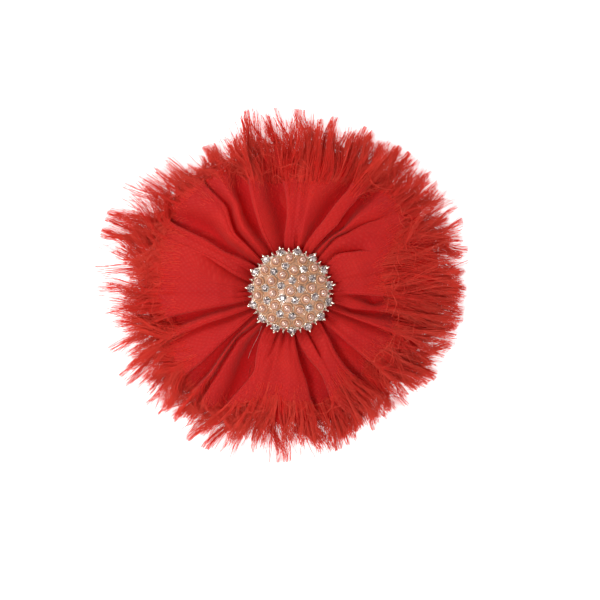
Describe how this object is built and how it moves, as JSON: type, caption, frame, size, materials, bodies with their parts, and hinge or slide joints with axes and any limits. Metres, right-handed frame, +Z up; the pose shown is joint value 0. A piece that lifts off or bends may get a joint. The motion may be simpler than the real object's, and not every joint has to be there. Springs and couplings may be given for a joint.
{
  "type": "flower hair clip",
  "caption": "Gathered chiffon flower with frayed petals and a domed pearl and rhinestone button, on a felt-backed sprung alligator clip.",
  "frame": {"origin": "middle of the object's box, on the surface that it lies on", "axes": "+Z up, out of the flower's face; +X along the clip from its handles to its jaws; +Y across the clip"},
  "size_m": [0.1, 0.1, 0.0247],
  "materials": {
    "chiffon": "sheer crepe chiffon with raw frayed edges",
    "felt": "matted wool felt",
    "thread": "spun polyester thread",
    "glue": "cooled hot-melt glue, slightly cloudy",
    "clip_steel": "nickel-plated pressed steel",
    "spring_steel": "drawn spring wire",
    "setting": "pale gold plated casting, polished",
    "enamel": "satin peach enamel",
    "pearl": "pink-cream pearl lustre",
    "crystal": "faceted, foil-backed"
  },
  "bodies": {
    "flower": {"clip_fixed_jaw": "clip_steel", "hinge_pin": "clip_steel", "torsion_spring": "spring_steel", "clip_glue": "glue", "felt_backing": "felt", "button_glue": "glue", "gathering_thread_lower": "thread", "gathering_thread_upper": "thread", "lower_ruffle": "chiffon", "upper_ruffle": "chiffon", "button_setting": "setting", "enamel_fill": "enamel", "pearl_centre": "pearl", "pearl_inner_1": "pearl", "pearl_inner_2": "pearl", "pearl_inner_3": "pearl", "pearl_inner_4": "pearl", "pearl_inner_5": "pearl", "pearl_middle_1": "pearl", "pearl_middle_2": "pearl", "pearl_middle_3": "pearl", "pearl_middle_4": "pearl", "pearl_middle_5": "pearl", "pearl_outer_1": "pearl", "pearl_outer_2": "pearl", "pearl_outer_3": "pearl", "pearl_outer_4": "pearl", "pearl_outer_5": "pearl", "pearl_outer_6": "pearl", "pearl_outer_7": "pearl", "pearl_outer_8": "pearl", "pearl_outer_9": "pearl", "pearl_outer_10": "pearl", "pearl_outer_11": "pearl", "pearl_outer_12": "pearl", "pearl_outer_13": "pearl", "pearl_outer_14": "pearl", "pearl_outer_15": "pearl", "rhinestone_inner_1": "crystal", "rhinestone_inner_2": "crystal", "rhinestone_inner_3": "crystal", "rhinestone_inner_4": "crystal", "rhinestone_inner_5": "crystal", "rhinestone_middle_1": "crystal", "rhinestone_middle_2": "crystal", "rhinestone_middle_3": "crystal", "rhinestone_middle_4": "crystal", "rhinestone_middle_5": "crystal", "rhinestone_middle_6": "crystal", "rhinestone_middle_7": "crystal", "rhinestone_middle_8": "crystal", "rhinestone_middle_9": "crystal", "rhinestone_middle_10": "crystal"},
    "lever": {"clip_lever_jaw": "clip_steel"}
  },
  "joints": [
    {"name": "clip_hinge", "type": "hinge", "parent": "flower", "child": "lever", "pos_m": [-0.009, 0, 0.0049], "axis": [0, 1, 0], "range_deg": [0, 26], "stiffness_Nm_per_rad": 0.06, "springref_deg": -28.65, "deforming": ["torsion_spring"]}
  ]
}
